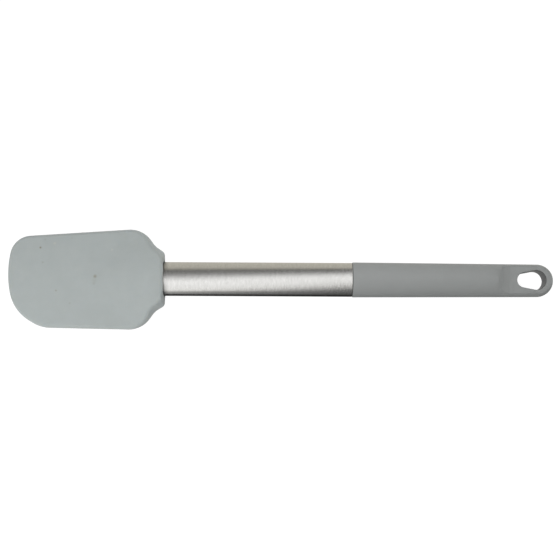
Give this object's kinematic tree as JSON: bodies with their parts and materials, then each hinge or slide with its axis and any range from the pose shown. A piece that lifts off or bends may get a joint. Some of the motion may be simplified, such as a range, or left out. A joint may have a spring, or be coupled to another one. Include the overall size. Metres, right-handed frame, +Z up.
{
  "type": "silicone spatula",
  "caption": "Kitchen spatula with a broad flexible silicone head, a bare round steel shaft and a round plastic grip with a hanging eye, for scraping bowls and folding mixtures.",
  "frame": {"origin": "middle of the spatula's footprint on the table that it lies on, on the table's surface", "axes": "+X along the tool from the head to the hanging eye, +Y across the blade towards the side with the smaller corner, +Z up, out of the face that the picture shows"},
  "size_m": [0.3214, 0.0594, 0.0232],
  "materials": {
    "silicone": "matt moulded silicone, pale grey-green",
    "core_nylon": "natural glass-filled nylon",
    "stainless": "satin ground along its length",
    "grip_plastic": "fine matt texture, mid grey"
  },
  "bodies": {
    "root": {"silicone_head": "silicone", "blade_core": "core_nylon", "steel_tube": "stainless", "handle": "grip_plastic"}
  },
  "joints": []
}
